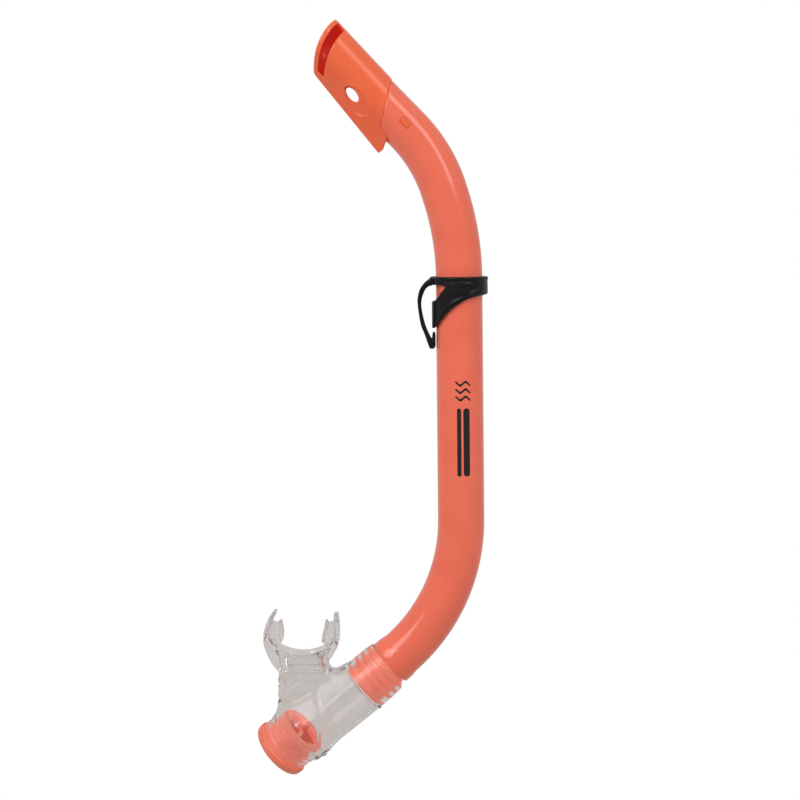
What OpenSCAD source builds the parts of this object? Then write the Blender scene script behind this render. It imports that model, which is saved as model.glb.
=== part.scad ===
// Snorkel tube: a bent barrel with a ribbed adapter at its lower end, a splash
// guard snapped into its upper end, a strap keeper that slides on the straight
// stretch, and a one-piece silicone mouthpiece that swivels on the adapter and
// carries a purge valve at its lower end.
//
// Millimetres. +Z is up, the bends lie in the XZ plane, and the origin is the
// middle of the mouth opening, where the wearer's teeth and lips close.

/* [Barrel] */
// Outside diameter of the barrel
tube_d = 26; // [25:0.5:27]
// Wall thickness of the barrel
tube_wall = 2; // [1.75:0.25:2.25]
// Distance from the mouth opening to the straight barrel's axis
barrel_x = 90; // [88:1:92]
// Height at which the lower bend ends and the straight stretch begins
straight_z0 = 73; // [70:1:76]
// Height at which the straight stretch ends and the upper bend begins
straight_z1 = 208; // [204:1:212]
// Radius of the lower bend, on the axis
low_r = 100; // [98:1:102]
// Angle of the lower bend
low_a = 49; // [48:1:50]
// Radius of the gentle first part of the upper bend
up1_r = 153; // [150:1:160]
// Angle of the first part of the upper bend
up1_a = 17; // [16:1:18]
// Short straight between the two parts of the upper bend
up_gap = 4; // [3:0.5:6]
// Radius of the tighter second part of the upper bend
up2_r = 85; // [82:1:88]
// Angle of the second part of the upper bend
up2_a = 27; // [26:1:28]

/* [Adapter] */
// Outside diameter of the belled lower end of the barrel
bell_d = 27.6; // [27.4:0.1:28]
// Length of the belled end
bell_l = 8; // [7:0.5:9]
// Outside diameter over the adapter's ribs
rib_d = 26; // [25.8:0.1:26]
// Number of ribs on the adapter
rib_n = 3; // [2:1:4]
// Length of the ribbed spigot
spigot_l = 21; // [20:0.5:22]

/* [Mouthpiece] */
// Radial running clearance between the silicone sleeve and the ribs
sleeve_gap = 0.05; // [0.03:0.01:0.08]
// Silicone wall thickness
sil_wall = 2.2; // [2:0.1:2.5]
// Width of the neck, side to side
neck_w = 27; // [26:0.5:28]
// Depth of the neck
neck_t = 20; // [18:0.5:21]
// Height of the lip flange
flange_h = 27; // [24:1:30]
// Thickness of the bite platforms
lug_t = 4; // [3.5:0.5:5]

/* [Purge valve] */
// Sideways offset of the purge port from the barrel's end axis
port_off = 3.8; // [3.4:0.2:4.2]
// Cant of the purge port out of the plane of the bends
port_cant = 15; // [12:1:18]
// Outside diameter of the purge cover
cover_d = 34.4; // [34:0.2:35]
// Outside diameter of the valve housing inside the silicone socket
housing_d = 28.8; // [28.6:0.1:29]
// Lift of the flap from its seat when it is open
flap_lift = 1.5; // [1:0.25:2]
// Number of spokes across the valve seat
spoke_n = 2; // [2:1:4]
// Number of outlet slots in the cover
vent_n = 8; // [6:1:10]

/* [Splash guard] */
// Wall thickness of the hood
hood_wall = 1.8; // [1.6:0.1:2]
// Radius of the curved top of the hood
crown_r = 41.5; // [41:0.5:42]
// Width of the rim left above the side opening
rim_w = 2.8; // [2.4:0.2:3.2]
// Length of the oval drain hole
drain_l = 10.4; // [10:0.2:10.8]
// Width of the oval drain hole
drain_w = 4.8; // [4.4:0.2:5.2]

/* [Strap keeper] */
// Height of the keeper ring
ring_h = 9; // [8:0.5:9.5]
// Outside diameter of the keeper ring
ring_d = 31.8; // [31:0.2:32.4]
// Radial running clearance between the keeper and the barrel
keeper_gap = 0.05; // [0.03:0.01:0.08]
// Width of the keeper's hook, across the strap
hook_w = 10; // [8:1:12]

/* [Hidden] */
$fn = 96;

tube_r = tube_d / 2;
bore_r = tube_r - tube_wall;

// centres of the bends and the two ends of the barrel, as [x, z]
low_c = [barrel_x - low_r, straight_z0];
low_end = low_c + low_r * [cos(low_a), -sin(low_a)];
up1_c = [barrel_x - up1_r, straight_z1];
up1_end = up1_c + up1_r * [cos(up1_a), sin(up1_a)];
gap_end = up1_end + up_gap * [-sin(up1_a), cos(up1_a)];
up2_c = gap_end - up2_r * [cos(up1_a), sin(up1_a)];
up_a = up1_a + up2_a;
up_end = up2_c + up2_r * [cos(up_a), sin(up_a)];

sleeve_r = rib_d / 2 + sleeve_gap;
bell_bore = bell_d / 2 - tube_wall;
seat_z = bell_l + spigot_l + 41;      // start of the purge housing
port_r = housing_d / 2;
cover_z = 16;                         // cover starts this far down the port
seam_slope = 0.636;                   // slanted joint of hood and barrel
seam_z = 17.3;

// frame at the lower end of the barrel: +Z leads on towards the purge valve
module low_frame() {
    translate([low_end[0], 0, low_end[1]]) rotate([0, low_a - 180, 0]) children();
}

// frame at the top of the upper bend: +Z leads on towards the hood's tip
module top_frame() {
    translate([up_end[0], 0, up_end[1]]) rotate([0, -up_a, 0]) children();
}

// frame of the purge port
module port_frame() {
    low_frame() translate([port_off, 0, seat_z]) rotate([-port_cant, 0, 0]) children();
}

// extrudes an outline drawn as [x, z] by w across the Y axis
module across(w) {
    translate([0, w / 2, 0]) rotate([90, 0, 0]) linear_extrude(w) children();
}

module wall_ring(r_out, r_in) {
    difference() {
        circle(r_out);
        circle(r_in);
    }
}

// one bent stretch of tube about c, from angle a0 through a; its ends run a
// hair into the straight stretches on both sides, inside their walls
module bend(c, r, a0, a) {
    e = 0.1;
    translate([c[0], 0, c[1]]) rotate([90, 0, 0]) rotate([0, 0, a0 - e])
        rotate_extrude(angle = a + 2 * e) translate([r, 0]) wall_ring(tube_r - 0.02, bore_r + 0.02);
}

// half-space of the hood frame above the slanted joint with the barrel
module above_seam(lift = 0) {
    translate([0, 0, seam_z + lift]) rotate([0, -atan(seam_slope), 0])
        translate([-60, -60, 0]) cube([120, 120, 90]);
}

module barrel_tube() {
    color([0.90, 0.43, 0.34]) {
        // lower end: a short bell that takes the adapter's plug
        low_frame() rotate_extrude() polygon([
            [bore_r, 0], [tube_r, 0], [bell_d / 2, 2], [bell_d / 2, bell_l],
            [bell_bore, bell_l], [bell_bore, 1.5], [bore_r, 1.5]]);
        bend(low_c, low_r, -low_a, low_a);
        translate([barrel_x, 0, straight_z0])
            linear_extrude(straight_z1 - straight_z0) wall_ring(tube_r, bore_r);
        bend(up1_c, up1_r, 0, up1_a);
        translate([up1_end[0], 0, up1_end[1]]) rotate([0, -up1_a, 0])
            linear_extrude(up_gap) wall_ring(tube_r, bore_r);
        bend(up2_c, up2_r, up1_a, up2_a);
        // upper end, cut on a slant, with two windows for the hood's snap tabs
        top_frame() difference() {
            linear_extrude(40) wall_ring(tube_r, bore_r);
            above_seam();
            translate([0.4, -20, 0.4]) cube([3.2, 40, 5.6]);
        }
    }
}

module tube_connector() {
    core_r = rib_d / 2 - 0.8;
    z1 = bell_l + spigot_l;
    pitch = 4.4;
    color([0.88, 0.40, 0.32]) low_frame() rotate_extrude() polygon(concat(
        [[10, 1.5], [bell_bore - 0.4, 1.5], [bell_bore, 2.2], [bell_bore, bell_l], [core_r, bell_l]],
        [for (i = [0 : rib_n - 1]) each [
            [core_r, bell_l + 2.6 + i * pitch], [rib_d / 2, bell_l + 3.2 + i * pitch],
            [rib_d / 2, bell_l + 4.8 + i * pitch], [core_r, bell_l + 5.4 + i * pitch]]],
        [[core_r, z1 - 3.4], [rib_d / 2, z1 - 2.8], [rib_d / 2, z1 - 0.6], [rib_d / 2 - 0.6, z1], [10, z1]]));
}

// cross-section of the hood at height z: round at the back, a narrow nose in front
module hood_slice(z, r, c, nose, rn) {
    translate([0, 0, z]) linear_extrude(0.1) {
        translate([c, 0]) circle(r, $fn = 48);
        translate([nose + rn, 0]) circle(rn, $fn = 24);
    }
}

// hood body between heights z0 and z1, shrunk by s on every side
module hood_body(z0, z1, s) {
    k = 5.4 / 57;
    hull() {
        hood_slice(z0, tube_r - s, 0, -20.7 + k * (z0 - 2) + s, 2.6 - s * 0.9);
        hood_slice(z1, tube_r + 0.4 - s, 1.3, -20.7 + k * (z1 - 2) + s, 2.6 - s * 0.9);
    }
}

// space under the curved top of the hood
module crown(r) {
    translate([14.7, 0, 30.1]) rotate([90, 0, 0]) cylinder(r = r, h = 80, center = true);
    translate([-40, -40, -40]) cube([80, 80, 80]);
}

module oval(l, w, h) {
    // an ellipse with its long side near Z, cut across Y
    across(h) rotate(-4) polygon([for (a = [0 : 10 : 350]) [w / 2 * cos(a), l / 2 * sin(a)]]);
}

module splash_guard() {
    color([0.87, 0.38, 0.22]) top_frame() {
        difference() {
            intersection() {
                hood_body(1.7, 76, 0);
                crown(crown_r);
            }
            // slanted joint at the back, tail edge in front
            across(80) polygon([[-30, -30], [-30, 2], [-20.7, 2], [-17.4, 1.7], [-11.3, 4.6],
                                [-9.3, 6.2], [-8, seam_z - 8 * seam_slope], [40, seam_z + 40 * seam_slope],
                                [40, -30]]);
            // clears the barrel behind the tail
            intersection() {
                translate([0, 0, -30]) cylinder(r = tube_r + 0.05, h = 80);
                across(50) polygon([[-16, -30], [-16, seam_z + 0.1 - 16 * seam_slope],
                                    [-7.5, seam_z + 0.1 - 7.5 * seam_slope], [-7.5, -30]]);
            }
            // hollow inside, open to the barrel
            intersection() {
                hood_body(1.8, 76, hood_wall);
                crown(crown_r - 2);
                above_seam(2.5);
            }
            translate([0, 0, -10]) cylinder(r = bore_r - 1.4, h = 50);
            // side opening under the rim, on the near side only
            across_near() {
                intersection() {
                    difference() {
                        translate([14.7, 30.1]) circle(crown_r - rim_w, $fn = 180);
                        translate([16.8, 15.4]) circle(48, $fn = 180);
                    }
                    translate([-12.6, 40]) square([40, 50]);
                }
            }
            // oval drain hole through both sides
            translate([-8.2, 0, 35.3]) oval(drain_l, drain_w, 60);
        }
        // spigot that plugs into the barrel, with two snap tabs
        difference() {
            union() {
                translate([0, 0, -1.8]) cylinder(r = bore_r - 0.02, h = 40);
                translate([0.5, -tube_r + 0.2, 0.5]) cube([3, 2 * tube_r - 0.4, 5.4]);
            }
            translate([0, 0, -10]) cylinder(r = bore_r - 1.4, h = 60);
            above_seam(1);
        }
    }
}

module across_near() {
    translate([0, 0.5, 0]) rotate([90, 0, 0]) linear_extrude(40) children();
}

module strap_keeper() {
    z0 = 199;
    color([0.10, 0.10, 0.11]) difference() {
        union() {
            translate([barrel_x, 0, z0]) cylinder(d = ring_d, h = ring_h);
            // skirt that sweeps down to the tongue
            intersection() {
                translate([barrel_x, 0, 175]) cylinder(r = ring_d / 2 - 0.5, h = 30);
                across(50) polygon([[106, 200], [103.5, 198.6], [95.3, 196.8], [90, 194], [85.2, 190.6],
                                    [81.6, 187], [78, 182.7], [76.9, 181], [75.8, 180.2], [73, 180.2],
                                    [73, 195], [76.5, 195.6], [78.4, 198.1], [80.6, 200.2], [82.3, 202],
                                    [82.3, 204], [106, 204]]);
            }
            // arm and hook
            across(hook_w) polygon([[78.5, 204.2], [74.6, 204.6], [71.6, 202.4], [69.8, 198.9],
                                    [68.9, 195.3], [68.9, 191.8], [69.7, 187.1], [71.1, 181.7],
                                    [72.9, 177.4], [74.4, 174.2], [74.8, 175.6], [75, 178], [76.2, 178],
                                    [76.5, 176.3], [76.5, 170.2], [75.6, 168.8], [73.4, 168.8],
                                    [72.7, 170.5], [70.3, 177.4], [68.6, 181.7], [67.4, 188.2],
                                    [66.8, 193.6], [66.8, 197.1], [68.1, 202], [71, 206], [74, 207.8],
                                    [78.5, 208]]);
        }
        translate([barrel_x, 0, 160]) cylinder(r = tube_r + keeper_gap, h = 60);
        // window between the ring and the skirt, on both sides
        across(50) polygon([[70, 199], [78.6, 199], [80.6, 200.4], [82.3, 202.4], [81.8, 203.4],
                            [77, 204], [76, 203], [75, 199]]);
    }
}

module stadium(w, t) {
    translate([-(w - t) / 2, 0]) circle(t / 2);
    translate([(w - t) / 2, 0]) circle(t / 2);
    square([w - t, t], center = true);
}

module disc(r, h = 0.2) { cylinder(r = r, h = h, $fn = 32); }

module mouthpiece() {
    z1 = bell_l + spigot_l;
    color([0.78, 0.76, 0.75]) {
        difference() {
            union() {
                // sleeve over the adapter
                low_frame() rotate_extrude() polygon([
                    [5, bell_l + 0.3], [13.9, bell_l + 0.3], [14.9, 13], [15.3, 20], [15.3, z1 - 0.6],
                    [15.8, z1 - 0.3], [15.8, z1 + 0.5], [15.2, z1 + 1], [5, z1 + 1]]);
                // chamber
                hull() {
                    low_frame() translate([0.2, 0, z1]) disc(15);
                    low_frame() translate([1.6, 0, seat_z + 1]) disc(14.5);
                    port_frame() translate([0, 0, -3]) disc(port_r + sil_wall - 0.6);
                }
                // socket for the purge valve
                port_frame() translate([0, 0, -3]) cylinder(r = port_r + 1.8, h = 3 + cover_z);
                // web that rounds off the corner between neck and sleeve
                across(17) polygon([[8, -26], [12, -9], [14.4, -9.4], [16.6, -11], [19.2, -11.7],
                                    [21.8, -11.2], [24, -10.3], [27, -13], [22, -24]]);
                // neck
                translate([0.2, 0, -42]) linear_extrude(38) stadium(neck_w, neck_t);
                mouth_flange();
                bite_lugs();
            }
            // bore of the sleeve
            low_frame() translate([0, 0, -5]) cylinder(r = sleeve_r, h = z1 + 5.5);
            // chamber inside
            hull() {
                low_frame() translate([0.2, 0, z1 - 0.5]) disc(15 - sil_wall);
                low_frame() translate([1.6, 0, seat_z - 1]) disc(14.5 - sil_wall);
                port_frame() translate([0, 0, -1]) disc(port_r - 1);
            }
            // bore of the socket
            port_frame() translate([0, 0, -0.1]) cylinder(r = port_r, h = 30);
            port_frame() translate([0, 0, -6]) cylinder(r = port_r - 1.4, h = 30);
            // bore of the neck
            translate([0.2, 0, -38]) linear_extrude(60) stadium(neck_w - 2 * sil_wall - 1, neck_t - 2 * sil_wall);
        }
    }
}

// lip flange: a curved shield, tallest in the middle and lower at its ends
module mouth_flange() {
    intersection() {
        across(60) difference() {
            polygon([[-15.6, 22.4], [-18.6, 17.8], [-20.7, 13], [-21.6, 8], [-21.2, 3], [-19.1, -2.6],
                     [-16.4, -7], [-13.2, -11], [13.6, -11], [13.9, -6.8], [17.3, -2.6], [20.2, 2.4],
                     [21.1, 7], [21.1, 14], [20.3, 20.8], [18.2, 20.8], [18.6, 14], [18.4, 8],
                     [16.6, 4.2], [13, 1.6], [8, -0.6], [3.5, -1.6], [0, -1.8], [-4, -1.4], [-8.5, -0.2],
                     [-13.5, 2.4], [-17, 5.4], [-18.8, 9], [-17.9, 14], [-16.2, 18], [-13.9, 22.1]]);
        }
        // end-on outline of the shield
        rotate([0, 0, 0]) union() {
            translate([0, 0, -12]) linear_extrude(40) stadium_y();
        }
    }
}

module stadium_y() {
    // taller towards the middle of the mouth, lower at the ends
    polygon([[-22.5, -6], [-18, -9.5], [-12, -12.4], [-5, -flange_h / 2], [5, -flange_h / 2],
             [12, -12.4], [18, -9.5], [22.5, -6], [22.5, 6], [18, 9.5], [12, 12.4],
             [5, flange_h / 2], [-5, flange_h / 2], [-12, 12.4], [-18, 9.5], [-22.5, 6]]);
}

// bite platforms, each with an upright retaining tab on its inner side
module bite_lugs() {
    across(lug_t) polygon([[-18.6, 16.6], [-15.5, 16.2], [-13.5, 15.4], [-12.6, 16.6], [-11.2, 16.6],
                           [-10.3, 11], [-10.4, 7], [-11.8, 4.2], [-15, 1.5], [-19, 3], [-20.5, 9]]);
    across(lug_t) polygon([[18.6, 16.6], [16.6, 15.6], [14.4, 15.6], [13.6, 16.6], [12.8, 12],
                           [11.4, 8], [11, 4.4], [14, 1.5], [18, 3], [20, 9]]);
    across(9) polygon([[-12.4, 16.4], [-11.2, 16.6], [-10.3, 11], [-10.4, 7], [-11.8, 4.4], [-12.6, 6],
                       [-11.9, 11]]);
    across(9) polygon([[13.6, 16.6], [14.6, 16.4], [13.2, 10], [12.4, 5.5], [11, 4.4], [11.4, 8], [12.8, 12]]);
}

module purge_housing() {
    color([0.90, 0.42, 0.33]) port_frame() difference() {
        union() {
            // barrel of the housing, with two shallow grip ribs
            rotate_extrude() polygon([
                [port_r - 2.2, 0], [port_r, 0], [port_r, cover_z], [port_r + 1.8, cover_z],
                [port_r + 1.8, cover_z + 2], [port_r - 2.2, cover_z + 2]]);
            // seat: a ring, spokes and a hub
            translate([0, 0, 1.5]) linear_extrude(1.8) {
                wall_ring(port_r - 2, port_r - 4.6);
                circle(2);
                for (i = [0 : spoke_n - 1]) rotate(i * 360 / spoke_n + 90)
                    translate([0, -1]) square([port_r - 3, 2]);
            }
        }
        // hole for the flap's stem
        translate([0, 0, -5]) cylinder(r = 1.05, h = 20);
    }
}

module purge_flap() {
    color([0.70, 0.69, 0.68]) port_frame() rotate_extrude() polygon([
        [0, 0.9 - flap_lift - 2.4], [0.6, 0.9 - flap_lift - 2.4], [1.5, 0.9 - flap_lift - 1.1],
        [1.5, 0.9 - flap_lift - 0.4], [1, 0.9 - flap_lift - 0.1], [1, 3.32],
        [1.2, 3.32], [11.6, 3.32], [11.6, 3.7], [2.2, 4.2], [0, 4.2]]);
}

module purge_cover() {
    r = cover_d / 2;
    z0 = cover_z;
    color([0.88, 0.39, 0.30]) port_frame() difference() {
        // shallow cup with a rounded rim that snaps over the housing's flange
        rotate_extrude() polygon([
            [port_r + 1.8, z0 + 0.2], [r - 0.4, z0 + 0.2], [r, z0 + 0.8], [r, z0 + 2.8], [r - 0.5, z0 + 3.9],
            [r - 2, z0 + 4.6], [r - 4, z0 + 4.8], [0, z0 + 4.8], [0, z0 + 3.2], [r - 4, z0 + 3.2],
            [r - 2.6, z0 + 2.6], [r - 2.6, z0 + 2], [port_r + 1.8, z0 + 2]]);
        // outlet slots
        for (i = [0 : vent_n - 1]) rotate((i + 0.5) * 360 / vent_n)
            translate([5, -1.3, z0 + 2.6]) cube([6.6, 2.6, 10]);
    }
}

barrel_tube();
tube_connector();
splash_guard();
strap_keeper();
mouthpiece();
purge_housing();
purge_flap();
purge_cover();
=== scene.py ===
# Looks for the snorkel tube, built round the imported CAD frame. Metres, +Z up.
# Each visible piece is a fine mesh made here from a signed distance field or a
# swept profile, in the frame of the CAD node that it stands for.
import bpy, bmesh, math
import numpy as np
import openvdb as vdb
from mathutils import Matrix, Vector


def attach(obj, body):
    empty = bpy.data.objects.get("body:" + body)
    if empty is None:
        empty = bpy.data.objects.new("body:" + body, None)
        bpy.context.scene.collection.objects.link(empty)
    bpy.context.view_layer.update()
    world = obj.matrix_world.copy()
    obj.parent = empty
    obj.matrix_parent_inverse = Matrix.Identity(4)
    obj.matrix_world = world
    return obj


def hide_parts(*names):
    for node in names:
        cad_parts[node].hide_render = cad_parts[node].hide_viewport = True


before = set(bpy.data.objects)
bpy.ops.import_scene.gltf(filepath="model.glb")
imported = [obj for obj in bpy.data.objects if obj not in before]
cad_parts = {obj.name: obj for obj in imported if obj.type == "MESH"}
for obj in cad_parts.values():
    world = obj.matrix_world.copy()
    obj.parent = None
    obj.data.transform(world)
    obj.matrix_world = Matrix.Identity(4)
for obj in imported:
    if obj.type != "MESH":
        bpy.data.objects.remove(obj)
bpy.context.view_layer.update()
scene = bpy.context.scene

# ---------------------------------------------------------------- camera
F_PX = 3000.0
EYE = Vector((0.10084, -1.67385, 0.24820))
FWD = Vector((-0.02650, 0.99757, -0.06440)).normalized()
RIGHT = Vector((0.99961, 0.02591, -0.01000))
RIGHT = (RIGHT - FWD * RIGHT.dot(FWD)).normalized()
UP = RIGHT.cross(FWD)
cam_data = bpy.data.cameras.new("camera")
cam = bpy.data.objects.new("camera", cam_data)
scene.collection.objects.link(cam)
cam_data.sensor_width = 36.0
cam_data.lens = F_PX / 800.0 * 36.0
cam_data.clip_start = 0.05
cam_data.clip_end = 30.0
cam.matrix_world = Matrix((
    (RIGHT.x, UP.x, -FWD.x, EYE.x),
    (RIGHT.y, UP.y, -FWD.y, EYE.y),
    (RIGHT.z, UP.z, -FWD.z, EYE.z),
    (0, 0, 0, 1)))
scene.camera = cam

# ---------------------------------------------------------------- frames, mm
def unit(deg):
    return math.cos(math.radians(deg)), math.sin(math.radians(deg))

C49, S49 = unit(49)
A0 = np.array([-10 + 100 * C49, 0, 73 - 100 * S49])     # lower end of the barrel
LZ = np.array([-S49, 0, -C49])                          # on towards the purge valve
LX = np.array([-C49, 0, S49])                           # towards the mouth
C15, S15 = unit(15)
C44, S44 = unit(44)
C17, S17 = unit(17)
U1 = np.array([90 - 153 + 153 * C17, 0, 208 + 153 * S17])
G1 = U1 + 4 * np.array([-S17, 0, C17])
UC = G1 - 85 * np.array([C17, 0, S17])
E0 = UC + 85 * np.array([C44, 0, S44])                  # upper end of the bends
TZ = np.array([-S44, 0, C44])                           # on towards the hood's tip
TX = np.array([C44, 0, S44])                            # towards the hood's back

def low(P):
    v = P - A0
    return np.stack([v @ LX, v[:, 1], v @ LZ], 1)

def port(P):
    q = low(P) - np.array([3.8, 0, 70])
    return np.stack([q[:, 0], q[:, 1] * C15 - q[:, 2] * S15, q[:, 1] * S15 + q[:, 2] * C15], 1)

def low_w(Q):
    return A0 + Q[:, :1] * LX + Q[:, 1:2] * np.array([0, 1, 0]) + Q[:, 2:3] * LZ

def port_w(Q):
    q = np.stack([Q[:, 0] + 3.8, Q[:, 1] * C15 + Q[:, 2] * S15, -Q[:, 1] * S15 + Q[:, 2] * C15 + 70], 1)
    return low_w(q)

def top_w(Q):
    return E0 + Q[:, :1] * TX + Q[:, 1:2] * np.array([0, 1, 0]) + Q[:, 2:3] * TZ

# ---------------------------------------------------------------- distance fields
def smin(a, b, k):
    h = np.maximum(k - np.abs(a - b), 0) / k
    return np.minimum(a, b) - h * h * k * 0.25

def smax(a, b, k):
    return -smin(-a, -b, k)

def poly(x, z, pts):
    """Signed distance to a closed outline, negative inside."""
    pts = np.asarray(pts, float)
    best = np.full(x.shape, 1e9)
    inside = np.zeros(x.shape, bool)
    for i in range(len(pts)):
        ax, az = pts[i - 1]
        bx, bz = pts[i]
        ex, ez = bx - ax, bz - az
        wx, wz = x - ax, z - az
        t = np.clip((wx * ex + wz * ez) / (ex * ex + ez * ez + 1e-12), 0, 1)
        dx, dz = wx - ex * t, wz - ez * t
        best = np.minimum(best, dx * dx + dz * dz)
        c1, c2 = z >= az, z < bz
        c3 = ex * wz > ez * wx
        inside ^= (c1 & c2 & c3) | (~c1 & ~c2 & ~c3)
    d = np.sqrt(best)
    return np.where(inside, -d, d)

def plate(d2, y, half, r):
    """An outline's distance d2 swept to |y| < half, with edges rounded by r."""
    a, b = d2 + r, np.abs(y) - half + r
    return np.minimum(np.maximum(a, b), 0) + np.hypot(np.maximum(a, 0), np.maximum(b, 0)) - r

def rod(rad, z, r, z0, z1, e=0.3):
    """A cylinder of radius r from z0 to z1 whose edges are rounded by e."""
    return plate(rad - r, z - (z0 + z1) / 2, (z1 - z0) / 2, e)

def segs(x, z, pts):
    """Distance to an open line through points."""
    best = np.full(x.shape, 1e9)
    for (ax, az), (bx, bz) in zip(pts[:-1], pts[1:]):
        ex, ez = bx - ax, bz - az
        t = np.clip(((x - ax) * ex + (z - az) * ez) / (ex * ex + ez * ez), 0, 1)
        best = np.minimum(best, (x - ax - ex * t) ** 2 + (z - az - ez * t) ** 2)
    return np.sqrt(best)

def smooth_line(pts, n=8, closed=True):
    """Catmull-Rom curve through points."""
    p = np.asarray(pts, float)
    m = len(p)
    out = []
    for i in range(m if closed else m - 1):
        p0, p1, p2, p3 = (p[(i + k) % m] if closed else p[min(max(i + k, 0), m - 1)] for k in (-1, 0, 1, 2))
        for s in np.arange(n) / n:
            out.append(0.5 * (2 * p1 + (p2 - p0) * s + (2 * p0 - 5 * p1 + 4 * p2 - p3) * s ** 2
                              + (3 * p1 - p0 - 3 * p2 + p3) * s ** 3))
    if not closed:
        out.append(p[-1])
    return np.array(out)

def new_object(name, P, faces):
    me = bpy.data.meshes.new(name)
    P = np.asarray(P, np.float32)
    faces = np.asarray(faces, np.int32)
    k = faces.shape[1]
    me.vertices.add(len(P))
    me.vertices.foreach_set("co", P.ravel())
    me.loops.add(faces.size)
    me.loops.foreach_set("vertex_index", faces.ravel())
    me.polygons.add(len(faces))
    me.polygons.foreach_set("loop_start", np.arange(0, faces.size, k, dtype=np.int32))
    me.update(calc_edges=True)
    me.validate()
    me.polygons.foreach_set("use_smooth", np.ones(len(faces), bool))
    o = bpy.data.objects.new(name, me)
    scene.collection.objects.link(o)
    return o

def sdf_object(name, f, lo, hi, h, world=None, lip=1.4, steps=3):
    """A mesh of the zero surface of f, made on a grid of h mm and then moved
    onto the exact surface. f takes points in mm in its own frame."""
    lo = np.asarray(lo, float) - 3 * h
    B = 8
    nb = np.ceil((np.asarray(hi, float) + 3 * h - lo) / h / B).astype(int)
    ax = [lo[i] + h * (np.arange(nb[i]) * B + (B - 1) / 2) for i in range(3)]
    C = np.stack(np.meshgrid(*ax, indexing="ij"), -1).reshape(-1, 3)
    dc = f(C)
    bg = 3 * h
    blk = np.where(dc > 0, bg, -bg).astype(np.float32).reshape(nb)
    arr = np.repeat(np.repeat(np.repeat(blk, B, 0), B, 1), B, 2)
    idx = np.argwhere(np.abs(dc).reshape(nb) < h * B / 2 * 1.7321 * lip + h)
    off = np.stack(np.meshgrid(*[np.arange(B)] * 3, indexing="ij"), -1).reshape(-1, 3)
    for part in np.array_split(idx, max(1, len(idx) * 512 // 300000)):
        g = (part[:, None, :] * B + off[None]).reshape(-1, 3)
        arr[g[:, 0], g[:, 1], g[:, 2]] = np.clip(f(lo + h * g), -bg, bg)
    grid = vdb.FloatGrid(bg)
    grid.copyFromArray(arr)
    pts, quads = grid.convertToQuads(isovalue=0)
    P = lo + h * np.asarray(pts, float)
    Q = np.asarray(quads, int)
    e = 0.03
    G = None
    for _ in range(steps):
        d = f(P)
        G = np.stack([f(P + e * v) - f(P - e * v) for v in np.eye(3)], 1) / (2 * e)
        gg = np.maximum((G * G).sum(1), 0.05)
        P = P - np.clip(d / gg, -0.5 * h, 0.5 * h)[:, None] * G
    a, b, c = P[Q[:, 0]], P[Q[:, 1]], P[Q[:, 2]]
    if (np.cross(b - a, c - a) * G[Q[:, 0]]).sum() < 0:
        Q = Q[:, ::-1]
    if world is not None:
        P = world(P)
    return new_object(name, P * 0.001, Q)

# ---------------------------------------------------------------- barrel
def barrel_mesh():
    """A swept tube: outer skin from the belled end up, then the bore back down."""
    NA = 144
    ang = np.arange(NA) * 2 * math.pi / NA
    ca, sa = np.cos(ang), np.sin(ang)
    rings = []

    def ring(o, ex, r, z=0.0, ez=None):
        P = np.asarray(o)[None] + r * (ca[:, None] * ex[None] + sa[:, None] * np.array([0.0, 1, 0])[None])
        if ez is not None:
            P = P + np.broadcast_to(np.asarray(z, float), (NA,))[:, None] * ez[None]
        rings.append(P)

    def along(r):
        """Rings of radius r from the lower end to the start of the hood joint."""
        out = []
        for a in np.linspace(49, 0, 50):
            c, s = unit(a)
            out.append((np.array([-10 + 100 * c, 0, 73 - 100 * s]), np.array([c, 0, -s])))
        for z in np.linspace(73, 208, 28)[1:-1]:
            out.append((np.array([90.0, 0, z]), np.array([1.0, 0, 0])))
        for a in np.linspace(0, 17, 20):
            c, s = unit(a)
            out.append((np.array([-63 + 153 * c, 0, 208 + 153 * s]), np.array([c, 0, s])))
        for a in np.linspace(17, 44, 34):
            c, s = unit(a)
            out.append((UC + 85 * np.array([c, 0, s]), np.array([c, 0, s])))
        return out

    X0 = -LX
    for z, r in [(8.0, 13.45), (7.9, 13.6), (7.6, 13.68), (5, 13.62), (3.0, 13.5), (2.0, 13.38), (1.0, 13.2), (0.2, 13.06)]:
        ring(A0 + LZ * z, X0, r)
    for o, ex in along(13):
        ring(o, ex, 13.0)
    zt = lambda r: 17.3 + 0.636 * r * ca
    for k in np.linspace(0.08, 1, 13):
        ring(E0, TX, 13.0, k * (zt(13.0) - 0.35), TZ)
    ring(E0, TX, 12.9, zt(12.9) - 0.1, TZ)
    ring(E0, TX, 12.65, zt(12.65), TZ)
    ring(E0, TX, 11.35, zt(11.35), TZ)
    ring(E0, TX, 11.1, zt(11.1) - 0.1, TZ)
    for k in np.linspace(1, 0.08, 13):
        ring(E0, TX, 11.0, k * (zt(11.0) - 0.35), TZ)
    for o, ex in reversed(along(11)):
        ring(o, ex, 11.0)
    for z, r in [(1.2, 11.0), (1.5, 11.15), (1.5, 11.65), (1.7, 11.8), (7.6, 11.8), (7.9, 11.9), (8.0, 12.1)]:
        ring(A0 + LZ * z, X0, r)
    P = np.concatenate(rings)
    n = len(rings)
    i = np.arange(NA)
    j = (i + 1) % NA
    F = [np.stack([k * NA + i, k * NA + j, ((k + 1) % n) * NA + j, ((k + 1) % n) * NA + i], 1) for k in range(n)]
    o = new_object("barrel", P * 0.001, np.concatenate(F))
    return o

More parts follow.
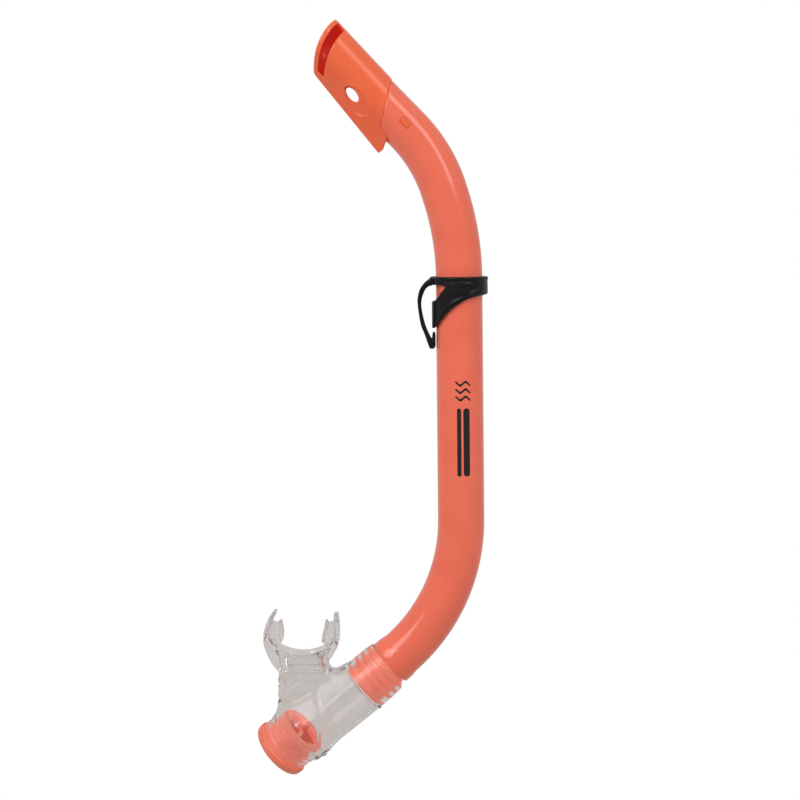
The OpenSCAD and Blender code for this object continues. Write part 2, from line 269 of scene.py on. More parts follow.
def window_cutter():
    """Two small rounded windows through the walls at the top of the barrel."""
    out, r = [], 0.55
    for cx, cz, a0 in [(3.9 - r, 6.5 - r, 0), (0.1 + r, 6.5 - r, 90), (0.1 + r, -0.1 + r, 180), (3.9 - r, -0.1 + r, 270)]:
        for k in range(5):
            c, s = unit(a0 + k * 22.5)
            out.append((cx + r * c, cz + r * s))
    out = np.array(out)
    m = len(out)
    P, F = [], []
    me = bpy.data.meshes.new("cut")
    for y0, y1 in ((-16, -6), (6, 16)):
        b = len(P)
        for y in (y0, y1):
            P += [tuple(v) for v in top_w(np.column_stack([out[:, 0], np.full(m, y), out[:, 1]])) * 0.001]
        F += [tuple(range(b, b + m)), tuple(range(b + 2 * m - 1, b + m - 1, -1))]
        F += [(b + (k + 1) % m, b + k, b + m + k, b + m + (k + 1) % m) for k in range(m)]
    me.from_pydata(P, [], F)
    o = bpy.data.objects.new("cut", me)
    scene.collection.objects.link(o)
    bm = bmesh.new(); bm.from_mesh(me); bmesh.ops.recalc_face_normals(bm, faces=bm.faces); bm.to_mesh(me); bm.free()
    return o

def cut_windows(o):
    c = window_cutter()
    m = o.modifiers.new("windows", "BOOLEAN")
    m.operation, m.object, m.solver = "DIFFERENCE", c, "EXACT"
    dg = bpy.context.evaluated_depsgraph_get()
    me = bpy.data.meshes.new_from_object(o.evaluated_get(dg))
    o.modifiers.clear()
    o.data = me
    bpy.data.objects.remove(c)

def smooth_by_angle(o, deg=35):
    me = o.data
    me.polygons.foreach_set("use_smooth", np.ones(len(me.polygons), bool))
    me.set_sharp_from_angle(angle=math.radians(deg))

# ---------------------------------------------------------------- ribbed adapter
def connector_f(P):
    x, y, z = P[:, 0], P[:, 1], P[:, 2]
    r = np.hypot(x, y)
    pr = [[10, 1.5], [11.4, 1.5], [11.8, 2.2], [11.8, 8.1], [12.35, 8.1]]
    for i in range(3):
        b = 8 + i * 4.4
        pr += [[12.35, b + 2.5], [13, b + 3.1], [13, b + 4.9], [12.35, b + 5.5]]
    pr += [[12.35, 25.4], [13, 26.1], [13, 28.5], [12.4, 29], [10, 29]]
    return poly(r, z, pr) - 0.0

# ---------------------------------------------------------------- splash guard
def above(n, t, lift=0.0):
    """Distance above the slanted joint of hood and barrel."""
    return (t - 17.3 - lift - 0.636 * n) / math.hypot(1, 0.636)

def hood_f(P):
    n, y, t = P[:, 0], P[:, 1], P[:, 2]
    u = np.clip((t - 1.7) / 74.3, -0.1, 1.05)
    c, r1, r2 = 1.3 * u, 13 + 0.4 * u, 2.6
    cn = -20.7 + 0.0947 * (t - 2) + r2
    h = c - cn
    py, px = c - n, np.abs(y)
    b = (r1 - r2) / h
    a = np.sqrt(1 - b * b)
    k = -b * px + a * py
    d2 = np.where(k < 0, np.hypot(px, py) - r1, np.where(k > a * h, np.hypot(px, py - h) - r2, a * px + b * py - r1))
    rc = np.hypot(n - 14.7, t - 30.1)
    crown = np.where(t > 40, rc - 41.5, np.minimum(rc - 41.5, t - 40))
    body = smax(d2, crown, 1.3)
    tail = poly(n, t, [[-40, -30], [-40, 2], [-20.7, 2], [-17.4, 1.7], [-11.3, 4.6], [-9.3, 6.2],
                       [-8, 17.3 - 8 * 0.636], [50, 17.3 + 50 * 0.636], [50, -30]])
    body = smax(body, -tail, 0.7)
    rho = np.hypot(n, y)
    behind = np.maximum(np.maximum(rho - 13.12, n + 7.5), above(n, t, 0.1))
    body = np.maximum(body, -behind)
    # shallow oval hollow round the drain hole
    ct, st = unit(12)
    ou, ov = (t - 30.2) * ct + (n + 8.9) * st, -(t - 30.2) * st + (n + 8.9) * ct
    oval = (np.hypot(ou / 8.6, ov / 4.6) - 1) * 4.6
    body = smax(body, -smax(oval, -(d2 + 0.42), 0.5), 0.5)
    ridge = np.abs(oval - 0.75) - 0.35
    body = smin(body, smax(ridge, np.maximum(np.abs(d2 + 0.1) - 0.28, -t + 20), 0.5), 0.6)
    cav = smax(smax(d2 + 1.8, crown + 2, 1.0), -above(n, t, 2.5), 0.5)
    body = smax(body, -cav, 0.35)
    slot = np.maximum(rc - 38.7, 48 - np.hypot(n - 16.8, t - 15.4))
    slot = np.maximum(np.maximum(slot, -12.6 - n + 0.0 * t), np.maximum(y - 0.5, 40 - t))
    body = smax(body, -slot, 0.6)
    # oval drain hole through both sides
    da, db = (t - 35.3) + 0.07 * (n + 8.2), (n + 8.2) - 0.07 * (t - 35.3)
    drain = (np.hypot(da / 5.2, db / 2.4) - 1) * 2.4
    body = smax(body, -drain, 0.5)
    # spigot with two snap tabs
    spig = np.maximum(rod(rho, t, 10.95, -1.8, 40, 0.4), above(n, t, 0.8))
    tab = plate(np.maximum(np.abs(n - 2) - 1.3, np.abs(t - 3.2) - 2.7) - 0.42, y, 12.95, 0.35)
    tab = np.maximum(tab, 9 - np.abs(y))
    body = np.minimum(body, np.minimum(spig, tab))
    return smax(body, -np.maximum(rho - 9.6, t - 41), 0.3)

# ---------------------------------------------------------------- strap keeper
SKIRT = smooth_line([[106, 199.6], [103.5, 198.6], [95.3, 196.8], [90, 194], [85.2, 190.6], [81.6, 187],
                     [78, 182.7], [76.9, 181]], 4, False).tolist() + \
        [[75.8, 180.2], [73, 180.2], [73, 195], [76.5, 195.6], [78.4, 198.1], [80.6, 200.2], [82.3, 202],
         [82.3, 205], [106, 205]]
ARM = [[79, 204.2]] + smooth_line([[78, 204.4], [74.6, 204.4], [71.6, 202.4], [69.8, 198.9], [68.9, 195.3],
                                   [68.9, 191.8], [69.7, 187.1], [71.1, 181.7], [72.9, 177.4], [74.4, 174.4]], 4, False).tolist() + \
      [[74.8, 175.6], [75, 178], [76.2, 178.2], [76.6, 176.3], [76.6, 170.2], [75.7, 168.8], [73.5, 168.8]] + \
      smooth_line([[72.7, 170.5], [70.3, 177.4], [68.6, 181.7], [67.4, 188.2], [66.8, 193.6], [66.8, 197.1],
                   [68.1, 202], [71, 206], [74, 208], [77, 208.8]], 4, False).tolist() + [[79, 208.9]]
CHEVRON = smooth_line([[79.6, 188.6], [82.4, 191.6], [86.5, 194.6], [91, 197], [96, 199.2], [99.6, 201.2], [100.5, 202.6],
                       [99.4, 203.8], [95.5, 205], [91.5, 205.7]], 4, False)

def keeper_f(P):
    x, y, z = P[:, 0], P[:, 1], P[:, 2]
    rad = np.hypot(x - 90, y)
    top = 208.7
    ring = rod(rad, z, 15.9, 199.2, top, 0.8)
    lip = np.hypot(rad - 15.4, z - 208.0) - 0.75
    ring = smin(ring, lip, 0.8)
    chev = segs(x, z, CHEVRON)
    skin = 15.35 + 0.38 * np.exp(-(chev / 0.62) ** 2)
    skirt = smax(poly(x, z, SKIRT), smax(rad - skin, 12 - rad, 0.2), 0.9)
    ring = np.maximum(ring, 12 - rad) - 0.32 * np.exp(-(chev / 0.62) ** 2) * np.exp(-(np.maximum(15 - rad, 0)) ** 2)
    arm_w = 3.9 + 1.6 * np.clip((z - 196) / 10, 0, 1)
    arm = plate(poly(x, z, ARM), y, arm_w, 0.85)
    body = smin(smin(ring, skirt, 1.2), arm, 1.4)
    win = plate(poly(x, z, [[72.5, 196], [76.5, 196.6], [78.6, 199.1], [80.8, 201.2], [82.4, 203.0], [81.8, 203.9], [77.5, 204.5], [75.0, 204.3], [73.2, 202.4], [71.4, 199.4]]), y, 30, 0.3)
    body = smax(body, -win, 0.8)
    return smax(body, 13.1 - rad, 0.25)

# ---------------------------------------------------------------- silicone mouthpiece
FLANGE = smooth_line([[-15.9, 21.7], [-18.7, 17.8], [-20.7, 13], [-21.6, 8], [-21.2, 3], [-19.1, -2.6],
                      [-16.4, -7], [-13.2, -10.8]], 5, False).tolist() + \
         smooth_line([[13.6, -10.8], [14.4, -6.8], [17.3, -2.6], [20.2, 2.4], [21.1, 7], [21.2, 14], [20.5, 20.2]], 5, False).tolist() + \
         smooth_line([[18.2, 20.2], [18.3, 14], [18.2, 8], [16.6, 4.2], [13, 1.6], [8, -0.6], [3.5, -1.6], [0, -1.8],
                      [-4, -1.4], [-8.5, -0.2], [-13.5, 2.4], [-17, 5.4], [-18.2, 9], [-17.3, 14], [-15.8, 18], [-13.9, 21.5]], 5, False).tolist()
LUG_L = [[-18.6, 16.6], [-15.5, 16.2], [-13.5, 15.4], [-12.6, 16.6], [-11.2, 16.6], [-10.3, 11], [-10.4, 7],
         [-11.8, 4.2], [-15, 1.5], [-19, 3], [-20.5, 9]]
LUG_R = [[18.6, 16.6], [16.6, 15.6], [14.4, 15.6], [13.6, 16.6], [12.8, 12], [11.4, 8], [11, 4.4], [14, 1.5],
         [18, 3], [20, 9]]
TAB_L = [[-12.6, 16.4], [-11.4, 16.7], [-10.3, 11], [-10.4, 7], [-11.6, 4.4], [-12.8, 6], [-12.1, 11]]
TAB_R = [[13.5, 16.6], [14.7, 16.4], [13.3, 10], [12.6, 5.5], [11.2, 4.4], [11.4, 8], [12.6, 12]]
WEB = [[8, -26], [12, -9], [14.4, -9.4], [16.6, -11], [19.2, -11.7], [21.8, -11.2], [24, -10.3], [27, -13], [22, -24]]

def stadium(x, y, w, t):
    return np.hypot(np.maximum(np.abs(x) - (w - t) / 2, 0), y) - t / 2

FOLD_A = smooth_line([[-14.9, -27.3], [-13.2, -27.8], [-10.5, -28.3], [-6.7, -27.6], [-3.4, -26.5], [-0.5, -25.3],
                      [2.2, -23.8], [5.3, -21.6], [9.3, -18.0]], 3, False)
FOLD_B = smooth_line([[-14.8, -19.2], [-12.6, -19.6], [-9.2, -19.5], [-5.9, -19.1], [-4.0, -18.4], [-0.4, -16.4], [3.2, -13.8]], 3, False)
CREASE = smooth_line([[-15.1, -2.0], [-13.1, -4.3], [-10.9, -6.3], [-7.0, -7.8], [-3.2, -8.8], [0.3, -9.0], [3.8, -7.4],
                      [6.8, -6.7], [10.6, -6.3]], 3, False)
SEAM = smooth_line([[25.3, -20.8], [18.7, -23.6], [14.6, -29.0], [12.0, -36.0], [10.0, -43.0], [9.2, -55.7]], 3, False)

def mouth_f(P):
    X, Y, Z = P[:, 0], P[:, 1], P[:, 2]
    L = low(P)
    lx, lz = L[:, 0], L[:, 2]
    lr = np.hypot(lx, Y)
    K = port(P)
    kr, kz = np.hypot(K[:, 0], K[:, 1]), K[:, 2]
    # sleeve and chamber
    prof = np.interp(lz, [8.3, 9.5, 13, 20, 29, 40, 60, 80], [14.25, 14.6, 15.0, 15.3, 15.3, 15.15, 14.9, 14.6])
    cxs = np.interp(lz, [28, 75], [0.1, 1.7])
    tube = np.hypot(lx - cxs, Y) - prof
    tube = smax(tube, np.maximum(8.4 - lz, lz - 74), 1.2)
    # socket of the purge valve
    sock = smax(kr - np.interp(kz, [-16, -4], [9.5, 16.05]), np.maximum(-16 - kz, kz - 16), 0.9)
    # neck and the web between it and the sleeve
    nw = 13.5 + 0.35 * np.clip((-8 - Z) / 20, 0, 1)
    neck = stadium(X - 0.2, Y, 2 * nw, 20)
    neck = smax(neck, np.maximum(-40 - Z, Z + 4), 2.0)
    web = plate(poly(X, Z, WEB), Y, 8.5, 4.0)
    core = smin(smin(tube, sock, 7.0), smin(neck, web, 5.0), 6.0)
    # folds that sweep across the neck from its outer edge
    fa, fb, cr = segs(X, Z, FOLD_A), segs(X, Z, FOLD_B), segs(X, Z, CREASE)
    side = np.clip((8 - X) / 10, 0, 1)
    wave = side * (0.45 * np.exp(-((fa - 2.2) / 1.5) ** 2) + 0.45 * np.exp(-((fb - 2.2) / 1.4) ** 2))
    wave -= side * 0.6 * (np.exp(-(fa / 0.55) ** 2) + 0.8 * np.exp(-(fb / 0.5) ** 2))
    wave -= 0.38 * np.exp(-(cr / 0.6) ** 2) * np.clip((-Z - 1) / 3, 0, 1)
    near = np.exp(-np.abs(core) / 1.2)
    body = core - wave * near
    ribs = 0.26 * np.exp(-((kz - 5.2) / 0.5) ** 2) + 0.26 * np.exp(-((kz - 8.6) / 0.5) ** 2) + 0.28 * np.exp(-((kz - 12.2) / 0.55) ** 2)
    body = body - ribs * np.exp(-np.maximum(np.abs(kr - 16.05) - 1, 0))
    ringb = np.hypot(lr - 15.2, lz - 28.9) - 0.55
    body = smin(body, ringb, 0.4)
    # lip flange, tallest in the middle
    H = np.interp(np.abs(X), [0, 5, 9, 13, 17, 20, 22.5], [13.4, 13.3, 12.9, 11.9, 10.0, 8.0, 5.8])
    fl = plate(poly(X, Z, FLANGE), Y * 1.0, 13.5, 1.0)
    fl = smax(fl, (np.abs(Y) - H) * 0.9, 1.6)
    body = smin(body, fl, 2.4)
    # bite platforms with rows of small bumps, and upright tabs
    lug = np.minimum(plate(poly(X, Z, LUG_L), Y, 2.0, 0.8), plate(poly(X, Z, LUG_R), Y, 2.0, 0.8))
    bump = np.zeros_like(X)
    for s, x0 in ((-1, -14.6), (1, 15.0)):
        for i in range(5):
            for j in range(2):
                bx, bz = x0 + (j - 0.5) * 2.4 + (i % 2) * 0.6 * s, 5.4 + i * 2.2
                bump = np.maximum(bump, np.exp(-((X - bx) ** 2 + (Z - bz) ** 2) / 0.5))
    lug = lug - 0.75 * bump
    tab = np.minimum(plate(poly(X, Z, TAB_L), Y, 4.5, 0.6), plate(poly(X, Z, TAB_R), Y, 4.5, 0.6))
    body = smin(body, smin(lug, tab, 0.8), 1.2)
    # mould parting line and a small nub at the chamber's foot
    seam = segs(X, Z, SEAM)
    body = body - 0.2 * np.exp(-(seam / 0.5) ** 2) * near * (Y < 0)
    nub = np.sqrt((lx + 13.6) ** 2 + Y ** 2 * 0.35 + (lz - 70.4) ** 2) - 1.7
    body = smin(body, nub, 1.2)
    # one even wall: the inside follows the outside
    inner = smax(core + 2.2, 26.5 - lz, 1.0)
    # the soft sleeve is stretched over the ribs, so its bore is a little under them
    sl = np.maximum(lr - 12.8, lz - 29.5)
    so = np.maximum(kr - 14.22, -kz - 0.05)
    so2 = smax(kr - 13.0, -kz - 5, 3.5)
    hollow = smin(smin(inner, so2, 3.0), np.minimum(sl, so), 0.3)
    flare = 3.2 * np.clip((Z + 11) / 11, 0, 1.3) ** 2
    bore = smax(stadium(X - 0.2, Y, 22.4, 15.6) - flare, np.maximum(-16 - Z, Z - 1.8), 1.5)
    hollow = smin(hollow, bore, 3.0)
    return smax(body, -hollow, 0.7)

# ---------------------------------------------------------------- purge valve
def housing_f(P):
    x, y, z = P[:, 0], P[:, 1], P[:, 2]
    r = np.hypot(x, y)
    grip = 14.02 + 0.36 * (np.exp(-((z - 5.0) / 0.42) ** 2) + np.exp(-((z - 7.6) / 0.42) ** 2) + np.exp(-((z - 10.2) / 0.42) ** 2)) \
        + 0.38 * np.clip((2.6 - z) / 0.5, 0, 1) + 0.38 * np.clip((z - 12.6) / 0.5, 0, 1)
    wall = smax(smax(r - grip, 12.2 - r, 0.4), np.abs(z - 9) - 9, 0.5)
    flange = plate(np.maximum(r - 16.2, 12.2 - r), z - 17, 1.0, 0.3)
    body = np.minimum(wall, flange)
    ring = smax(np.maximum(r - 12.8, 10.2 - r), np.abs(z - 1.7) - 1.6, 0.4)
    bar = smax(smax(np.abs(x) - 1.15, np.abs(y) - 12.2, 0.3), np.abs(z - 1.7) - 1.6, 0.4)
    bar = smax(bar, -rod(r, z, 1.8, -1.0, 1.5, 0.1), 0.2)
    seat = smin(smin(ring, bar, 0.6), rod(r, z, 2.0, 1.5, 3.3, 0.3), 0.3)
    body = smin(body, seat, 0.5)
    return smax(body, 1.05 - r, 0.25)

def flap_f(P):
    r, z = np.hypot(P[:, 0], P[:, 1]), P[:, 2]
    disc = poly(r, z, [[-1, 3.34], [11.6, 3.34], [11.6, 3.7], [2.2, 4.2], [-1, 4.2]])
    stem = poly(r, z, [[-1, -3.0], [0.6, -3.0], [1.42, -1.7], [1.45, -1.0], [0.98, -0.7], [0.98, 3.5], [-1, 3.5]])
    return smin(disc, stem, 0.3) - 0.0

def cover_f(P):
    x, y, z = P[:, 0], P[:, 1], P[:, 2]
    r = np.hypot(x, y)
    pr = smooth_line([[17.2, 16.9], [17.2, 18.7], [16.85, 19.8], [15.6, 20.6], [13.6, 20.8]], 4, False).tolist()
    pr = [[16.3, 16.2], [16.85, 16.2]] + pr + [[-1, 20.8], [-1, 19.2], [12.8, 19.2], [14.5, 18.7], [14.5, 18.1], [16.3, 18.1]]
    body = poly(r, z, pr)
    for k in range(8):
        c, s = unit((k + 0.5) * 45)
        u, v = x * c + y * s, -x * s + y * c
        slot = np.hypot(np.maximum(np.abs(u - 8.3) - 2.0, 0), v) - 1.3
        body = smax(body, -np.maximum(slot, 18.2 - z), 0.5)
    ringline = np.hypot(r - 13.2, z - 21.05) - 0.5
    body = smax(body, -ringline, 0.4)
    groove = np.hypot(r - 17.3, z - 17.7) - 0.25
    return smax(body, -groove, 0.3)

# ---------------------------------------------------------------- materials
def srgb(r, g, b):
    f = lambda c: c / 12.92 if c <= 0.04045 else ((c + 0.055) / 1.055) ** 2.4
    return (f(r / 255), f(g / 255), f(b / 255), 1.0)

def nodes_of(name):
    m = bpy.data.materials.new(name)
    m.use_nodes = True
    nt = m.node_tree
    bsdf = next(n for n in nt.nodes if n.type == "BSDF_PRINCIPLED")
    tc = nt.nodes.new("ShaderNodeTexCoord")
    return m, nt, bsdf, tc

def noise(nt, tc, scale, detail=2.0, rough=0.5):
    n = nt.nodes.new("ShaderNodeTexNoise")
    n.inputs["Scale"].default_value = scale
    n.inputs["Detail"].default_value = detail
    n.inputs["Roughness"].default_value = rough
    nt.links.new(tc.outputs["Object"], n.inputs["Vector"])
    return n

def ramp(nt, src, stops):
    r = nt.nodes.new("ShaderNodeValToRGB")
    e = r.color_ramp.elements
    while len(e) < len(stops):
        e.new(0.5)
    for el, (p, c) in zip(e, stops):
        el.position, el.color = p, c
    nt.links.new(src, r.inputs["Fac"])
    return r

def map_range(nt, src, a, b, c, d):
    m = nt.nodes.new("ShaderNodeMapRange")
    for k, v in zip(("From Min", "From Max", "To Min", "To Max"), (a, b, c, d)):
        m.inputs[k].default_value = v
    nt.links.new(src, m.inputs["Value"])
    return m

def bump(nt, bsdf, layers):
    prev = None
    for src, strength, dist in layers:
        b = nt.nodes.new("ShaderNodeBump")
        b.inputs["Strength"].default_value = strength
        b.inputs["Distance"].default_value = dist
        nt.links.new(src, b.inputs["Height"])
        if prev is not None:
            nt.links.new(prev.outputs["Normal"], b.inputs["Normal"])
        prev = b
    nt.links.new(prev.outputs["Normal"], bsdf.inputs["Normal"])

def plastic(name, lo, hi, rough, coat=0.0, grain=0.02, flow=90, ior=1.5, painted_glow=None):
    m, nt, bsdf, tc = nodes_of(name)
    big = noise(nt, tc, flow, 3)
    cr = ramp(nt, big.outputs["Fac"], [(0.3, lo), (0.7, hi)])
    nt.links.new(cr.outputs["Color"], bsdf.inputs["Base Color"])
    fine = noise(nt, tc, 2600, 2)
    mid = noise(nt, tc, 420, 3)
    rr = map_range(nt, mid.outputs["Fac"], 0.3, 0.7, rough[0], rough[1])
    nt.links.new(rr.outputs["Result"], bsdf.inputs["Roughness"])
    bump(nt, bsdf, [(mid.outputs["Fac"], grain, 0.0004), (fine.outputs["Fac"], grain, 0.0001)])
    bsdf.inputs["IOR"].default_value = ior
    bsdf.inputs["Coat Weight"].default_value = coat
    bsdf.inputs["Coat Roughness"].default_value = 0.04
    if painted_glow:
        # painted glow: an even emission that brightens the part's shaded faces, standing in for light carried through
        # thin tinted walls and through clear silicone
        bsdf.inputs["Emission Color"].default_value = painted_glow[0] + (1.0,)
        bsdf.inputs["Emission Strength"].default_value = painted_glow[1]
    return m

M_BARREL = plastic("coral_gloss", srgb(250, 114, 86), srgb(254, 120, 92), (0.15, 0.19), 0.15, 0.0015, flow=60)
# painted light: the adapter's coral is a brightened copy of the barrel's with a painted glow, making up for light that
# the clear silicone over it holds back
M_ADAPT = plastic("coral_adapter", srgb(255, 132, 104), srgb(255, 142, 114), (0.2, 0.3), 0.2, 0.01, painted_glow=((1.0, 0.17, 0.09), 0.30))
# painted glow: a faint red emission brightens the hood's shaded inside, standing in for light through its thin wall
M_HOOD = plastic("orange_satin", srgb(232, 104, 56), srgb(238, 110, 62), (0.25, 0.31), 0.05, 0.004, flow=45, painted_glow=((1.0, 0.03, 0.05), 0.10))
# painted light: the housing's coral is the same brightened copy with a painted glow, making up for light that the clear
# silicone over it holds back
M_HOUSE = plastic("coral_valve", srgb(255, 132, 104), srgb(255, 142, 114), (0.2, 0.3), 0.25, 0.01, painted_glow=((1.0, 0.18, 0.11), 0.28))
M_COVER = plastic("coral_cover", srgb(242, 122, 92), srgb(250, 130, 100), (0.24, 0.34), 0.15, 0.01)
M_BLACK = plastic("black_elastomer", srgb(7, 7, 9), srgb(13, 13, 16), (0.26, 0.4), 0.0, 0.05, flow=160, ior=1.34)
M_INK = plastic("black_ink", srgb(24, 22, 24), srgb(34, 31, 32), (0.3, 0.42), 0.0, 0.02, flow=400, ior=1.4)

def silicone(name, tint_a, tint_b, rough, trans=0.94, ior=1.34):
    m, nt, bsdf, tc = nodes_of(name)
    big = noise(nt, tc, 70, 3)
    cr = ramp(nt, big.outputs["Fac"], [(0.3, tint_a), (0.7, tint_b)])
    nt.links.new(cr.outputs["Color"], bsdf.inputs["Base Color"])
    mid = noise(nt, tc, 260, 2)
    rr = map_range(nt, mid.outputs["Fac"], 0.3, 0.7, rough[0], rough[1])
    nt.links.new(rr.outputs["Result"], bsdf.inputs["Roughness"])
    bump(nt, bsdf, [(mid.outputs["Fac"], 0.05, 0.0005)])
    bsdf.inputs["Transmission Weight"].default_value = trans
    bsdf.inputs["IOR"].default_value = ior
    return m

M_SIL = silicone("clear_silicone", srgb(246, 244, 242), srgb(250, 248, 247), (0.05, 0.10), 0.96)
# plain coral without painted glow, for the bores of the adapter and housing; their outer faces keep the brightened,
# glowing copies as painted light
M_INNER = plastic("coral_inner", srgb(244, 122, 92), srgb(250, 130, 100), (0.3, 0.4), 0.1, 0.01)
# painted light: the clear silicone flap is given a coral tint, standing in for coral light scattered onto it from the
# housing; its outer face takes a paler copy of that painted tint
M_FLAP = silicone("flap_silicone", srgb(224, 80, 42), srgb(230, 88, 50), (0.6, 0.7), 0.05, 1.16)
M_FLAP_UNDER = silicone("flap_silicone_under", srgb(214, 128, 108), srgb(222, 138, 118), (0.4, 0.5), 0.2)
# painted glow: a faint red emission on the flap
_fb = next(n for n in M_FLAP.node_tree.nodes if n.type == "BSDF_PRINCIPLED")
_fb.inputs["Emission Color"].default_value = (1.0, 0.13, 0.05, 1.0)
_fb.inputs["Emission Strength"].default_value = 0.13

# ---------------------------------------------------------------- build
def dress(o, mat, body, slot, *nodes):
    o.data.materials.clear()
    o.data.materials.append(mat)
    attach(o, body)
    if nodes:
        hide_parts(*nodes)
    return o

def second_tone(o, local, mat, test):
    """Faces whose middles pass test, in a local frame in mm, take another material."""
    me = o.data
    me.materials.append(mat)
    c = np.empty(len(me.polygons) * 3, np.float32)
    me.polygons.foreach_get("center", c)
    q = local(c.reshape(-1, 3).astype(float) * 1000)
    me.polygons.foreach_set("material_index", test(np.hypot(q[:, 0], q[:, 1]), q[:, 2]).astype(np.int32))

barrel = barrel_mesh()
cut_windows(barrel)
smooth_by_angle(barrel, 40)
dress(barrel, M_BARREL, "barrel", "barrel_tube", "barrel_tube")
conn = sdf_object("ribbed_adapter", connector_f, (-13.6, -13.6, 1), (13.6, 13.6, 29.5), 0.32, low_w)
smooth_by_angle(conn, 50)
dress(conn, M_ADAPT, "barrel", "tube_connector", "tube_connector")
# the bore faces take the plain coral, and the outer faces keep the brightened copy with painted glow
second_tone(conn, low, M_INNER, lambda r, z: r < 10.6)
hood = sdf_object("splash_hood", hood_f, (-21, -14, -2), (15, 14, 72), 0.33, top_w)
dress(hood, M_HOOD, "barrel", "splash_guard", "splash_guard")
keeper = sdf_object("keeper", keeper_f, (66, -16.5, 168), (106.5, 16.5, 209.5), 0.33)
dress(keeper, M_BLACK, "keeper", "strap_keeper", "strap_keeper")
mouth = sdf_object("silicone_mouthpiece", mouth_f, (-24, -17.5, -69.5), (54, 20.5, 24), 0.42)
dress(mouth, M_SIL, "mouthpiece", "mouthpiece", "mouthpiece")
housing = sdf_object("valve_housing", housing_f, (-16.6, -16.6, -0.2), (16.6, 16.6, 18.2), 0.34, port_w)
dress(housing, M_HOUSE, "mouthpiece", "purge_housing", "purge_housing")
# the housing's inside takes the plain coral, and its outer faces keep the brightened copy with painted glow
second_tone(housing, port, M_INNER, lambda r, z: (r < 12.6) & (z > 3.0))
cover = sdf_object("valve_cover", cover_f, (-17.4, -17.4, 16), (17.4, 17.4, 21.0), 0.36, port_w)
dress(cover, M_COVER, "mouthpiece", "purge_cover", "purge_cover")
flap = sdf_object("valve_flap", flap_f, (-11.8, -11.8, -3.2), (11.8, 11.8, 4.4), 0.25, port_w, lip=2.0)
dress(flap, M_FLAP, "flap", "purge_flap", "purge_flap")
# the flap's outer face takes the paler copy of the painted coral tint, without the painted glow
second_tone(flap, port, M_FLAP_UNDER, lambda r, z: z > 3.55)

# ---------------------------------------------------------------- printed mark: a plain bar and three waves
def on_barrel(pts, r):
    """Points (across, up) in mm laid on the near side of the straight barrel."""
    a = pts[:, 0] / 13.0
    return np.column_stack([90 + r * np.sin(a), -r * np.cos(a), pts[:, 1]])

def ribbon(name, left, right):
    """A closed thin shell between two rows of (across, up) points."""
    left, right = np.asarray(left, float), np.asarray(right, float)
    n, m = len(left), 9
    g = np.stack([left + (right - left) * s for s in np.linspace(0, 1, m)], 1).reshape(-1, 2)
    P = np.concatenate([on_barrel(g, 13.03), on_barrel(g, 12.985)])
    F = []
    o = n * m
    for i in range(n - 1):
        for j in range(m - 1):
            a, b, c, d = i * m + j, i * m + j + 1, (i + 1) * m + j + 1, (i + 1) * m + j
            F += [(a, b, c, d), (o + d, o + c, o + b, o + a)]
    edge = [i * m for i in range(n)] + [(n - 1) * m + j for j in range(1, m)] + [i * m + m - 1 for i in range(n - 2, -1, -1)] \
        + [j for j in range(m - 2, 0, -1)]
    for a, b in zip(edge, edge[1:] + edge[:1]):
        F.append((a, b, o + b, o + a))
    ob = new_object(name, P * 0.001, F)
    bm = bmesh.new(); bm.from_mesh(ob.data)
    bmesh.ops.recalc_face_normals(bm, faces=bm.faces)
    bm.to_mesh(ob.data); bm.free()
    smooth_by_angle(ob, 30)
    return ob

def bar(name, x, z0, z1, w):
    zs, hw = [], []
    for t in np.linspace(0, math.pi / 2, 10):
        zs.append(z0 + w / 2 * (1 - math.cos(t))); hw.append(max(w / 2 * math.sin(t), 0.05))
    zs += list(np.linspace(z0 + w / 2, z1 - w / 2, 20)[1:-1]); hw += [w / 2] * 18
    for t in np.linspace(math.pi / 2, 0, 10):
        zs.append(z1 - w / 2 * (1 - math.cos(t))); hw.append(max(w / 2 * math.sin(t), 0.05))
    return ribbon(name, [(x - h, z) for h, z in zip(hw, zs)], [(x + h, z) for h, z in zip(hw, zs)])

MARK = []
for k, zc in enumerate((141.5, 145.6, 149.7)):
    u = np.linspace(-4.4, 4.4, 40)
    wv = 0.95 * np.sin(u / 4.4 * math.pi * 1.5)
    tap = 0.72 * np.sqrt(np.clip(1 - (np.abs(u) / 4.45) ** 6, 0.01, 1))
    MARK.append(ribbon("mark_wave_%d" % k, np.column_stack([1.7 + u, zc + wv + tap]), np.column_stack([1.7 + u, zc + wv - tap])))
MARK.append(bar("mark_bar_a", -0.6, 98.0, 136.0, 2.3))
MARK.append(bar("mark_bar_b", 3.6, 98.0, 136.0, 3.6))
for o in MARK:
    o.data.materials.append(M_INK)
    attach(o, "barrel")

# ---------------------------------------------------------------- floor and light
world = bpy.data.worlds.new("world")
scene.world = world
world.use_nodes = True
wt = world.node_tree
bg = wt.nodes["Background"]
wtc = wt.nodes.new("ShaderNodeTexCoord")
sep = wt.nodes.new("ShaderNodeSeparateXYZ")
wt.links.new(wtc.outputs["Generated"], sep.inputs[0])
grad = ramp(wt, map_range(wt, sep.outputs["Y"], -1, 1, 0, 1).outputs["Result"],
            [(0.0, (0.42, 0.41, 0.405, 1)), (0.5, (0.53, 0.51, 0.50, 1)), (1.0, (0.63, 0.605, 0.59, 1))])
lp = wt.nodes.new("ShaderNodeLightPath")
mx = wt.nodes.new("ShaderNodeMix")
mx.data_type = "RGBA"
wt.links.new(lp.outputs["Is Camera Ray"], mx.inputs["Factor"])
wt.links.new(grad.outputs["Color"], mx.inputs[6])
mx.inputs[7].default_value = (1, 1, 1, 1)
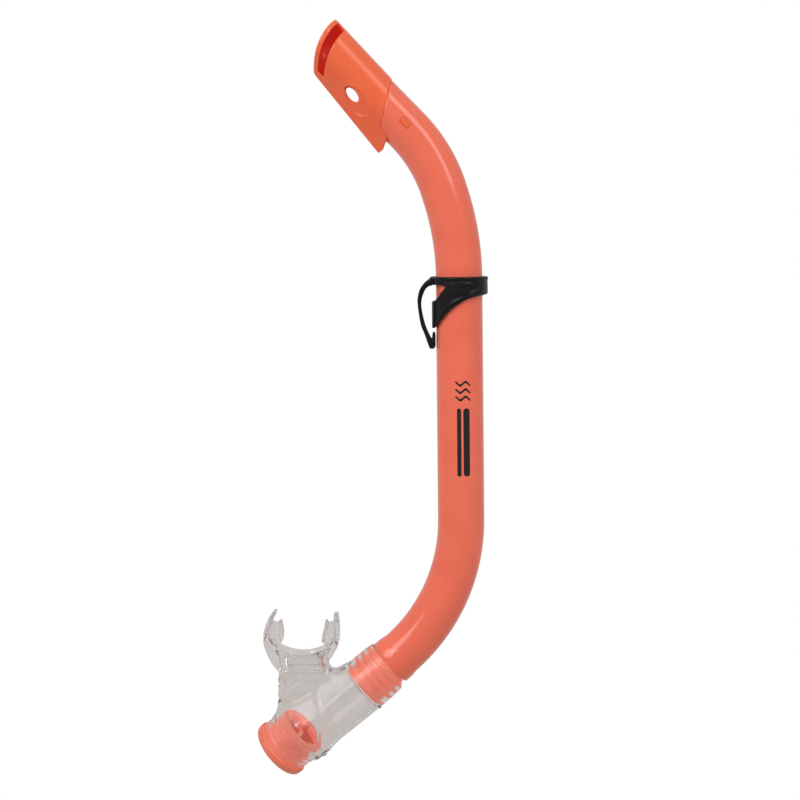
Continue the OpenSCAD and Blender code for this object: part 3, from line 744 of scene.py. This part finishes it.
wt.links.new(mx.outputs[2], bg.inputs["Color"])
bg.inputs["Strength"].default_value = 1.0
scene.view_settings.view_transform = "Standard"
scene.view_settings.look = "None"
scene.view_settings.exposure = 0.0
scene.view_settings.gamma = 1.0

# a plain pale floor far below, as white as the backdrop and clear from underneath
me = bpy.data.meshes.new("floor")
me.from_pydata([(-6, -6, -0.6), (6, -6, -0.6), (6, 6, -0.6), (-6, 6, -0.6)], [], [(0, 1, 2, 3)])
floor = bpy.data.objects.new("floor", me)
scene.collection.objects.link(floor)
fm = bpy.data.materials.new("floor_white")
fm.use_nodes = True
ft = fm.node_tree
ft.nodes.clear()
fo, fe, fc, fx, fg = (ft.nodes.new(k) for k in ("ShaderNodeOutputMaterial", "ShaderNodeEmission",
    "ShaderNodeBsdfTransparent", "ShaderNodeMixShader", "ShaderNodeNewGeometry"))
fe.inputs["Color"].default_value = (1, 1, 1, 1)
ft.links.new(fg.outputs["Backfacing"], fx.inputs[0])
ft.links.new(fe.outputs[0], fx.inputs[1])
ft.links.new(fc.outputs[0], fx.inputs[2])
ft.links.new(fx.outputs[0], fo.inputs["Surface"])
me.materials.append(fm)
floor.visible_diffuse = floor.visible_glossy = floor.visible_transmission = floor.visible_shadow = False

CENTRE = Vector((0.05, 0, 0.14))
def softbox(name, direction, dist, w, h, power, target=CENTRE, spin=0.0, color=(1, 1, 1)):
    d = Vector(direction).normalized()
    l = bpy.data.lights.new(name, "AREA")
    l.shape, l.size, l.size_y, l.energy, l.color = "RECTANGLE", w, h, power, color
    o = bpy.data.objects.new(name, l)
    o.location = target + d * dist
    o.rotation_euler = (-d).to_track_quat("-Z", "Y").to_euler()
    o.rotation_euler.rotate_axis("Z", spin)
    scene.collection.objects.link(o)
    return o

softbox("key_right", (0.585, -0.574, 0.568), 2.2, 0.62, 1.5, 9.5)
softbox("key_left", (-0.44, -0.74, 0.51), 2.0, 1.35, 1.05, 15.0)
softbox("glint", (-0.30, -0.80, 0.52), 1.8, 0.20, 0.14, 1.3)
